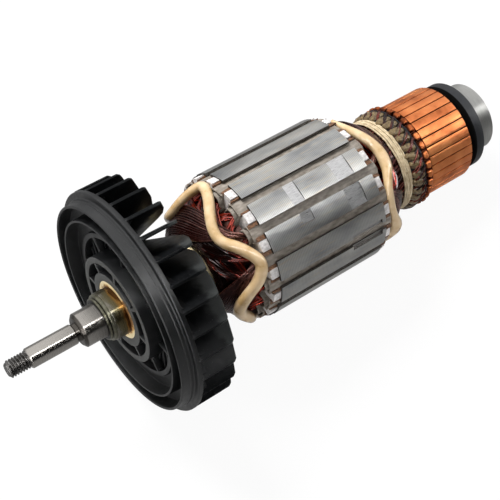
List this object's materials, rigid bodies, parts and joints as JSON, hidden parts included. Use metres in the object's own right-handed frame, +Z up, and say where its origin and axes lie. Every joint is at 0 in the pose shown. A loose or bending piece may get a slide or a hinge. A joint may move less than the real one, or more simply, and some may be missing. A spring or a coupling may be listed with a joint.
{
  "type": "motor armature",
  "caption": "Wound armature for a hand power tool: threaded shaft, cooling fan, slotted laminated core, laced windings, copper commutator and end ball bearing.",
  "frame": {"origin": "centre of the footprint, on the surface that the armature rests on: it lies on two fan blade corners and on the rim of the core", "axes": "+Z up; +X along the shaft's plan view, from the threaded end to the bearing, which lies 10 degrees lower than the shaft's fan end"},
  "size_m": [0.197, 0.0802, 0.0813],
  "materials": {
    "steel": "ground bright, straw and brown heat stain beside the fan",
    "insulation": "cream moulded resin",
    "rubber_grey": "grey translucent soft ring",
    "fan_plastic": "moulded, satin, lightly scuffed edges",
    "lamination": "ground across the laminations, milled balance flats",
    "end_plate": "white fibre plate",
    "slot_paper": "grey-brown insulating paper",
    "magnet_wire": "dark varnished copper wire with red highlights",
    "lacing_cord": "cream varnished cord",
    "twine": "khaki varnished twine",
    "leads": "varnished lead wires in khaki resin",
    "copper": "turned bare copper",
    "mica": "dark undercut mica",
    "moulding": "black phenolic moulding",
    "bush_steel": "plain steel bush",
    "rubber_black": "black dust ring, satin",
    "bearing_steel": "fine ground bearing steel",
    "ball_steel": "polished",
    "cage_steel": "pressed strip"
  },
  "bodies": {
    "rotor": {"shaft": "steel", "shaft_insulation": "insulation", "sealing_ring": "rubber_grey", "fan_wheel": "fan_plastic", "lamination_stack": "lamination", "front_end_plate": "end_plate", "rear_end_plate": "end_plate", "slot_liners": "slot_paper", "slot_wedges": "slot_paper", "slot_windings": "magnet_wire", "front_winding": "magnet_wire", "rear_winding": "magnet_wire", "front_lacing_cord": "lacing_cord", "rear_lacing_cord": "lacing_cord", "twine_binding": "twine", "lead_wires": "leads", "commutator_bars": "copper", "commutator_mica": "mica", "commutator_core": "moulding", "commutator_bush": "bush_steel", "dust_ring": "rubber_black", "bearing_inner_ring": "bearing_steel"},
    "bearing_race": {"bearing_outer_ring": "bearing_steel", "bearing_front_shield": "bearing_steel", "bearing_rear_shield": "bearing_steel"},
    "ball_cage": {"bearing_balls": "ball_steel", "bearing_cage": "cage_steel"}
  },
  "joints": [
    {"name": "bearing_spin", "type": "hinge", "parent": "rotor", "child": "bearing_race", "pos_m": [0.09234, 0, 0.01595], "axis": [0.9847, 0, -0.1745], "continuous": true},
    {"name": "cage_spin", "type": "hinge", "parent": "rotor", "child": "ball_cage", "pos_m": [0.09234, 0, 0.01595], "axis": [0.9847, 0, -0.1745], "continuous": true}
  ],
  "couplings": [
    {"joint": "cage_spin", "follows": "bearing_spin", "ratio": 0.6322}
  ]
}
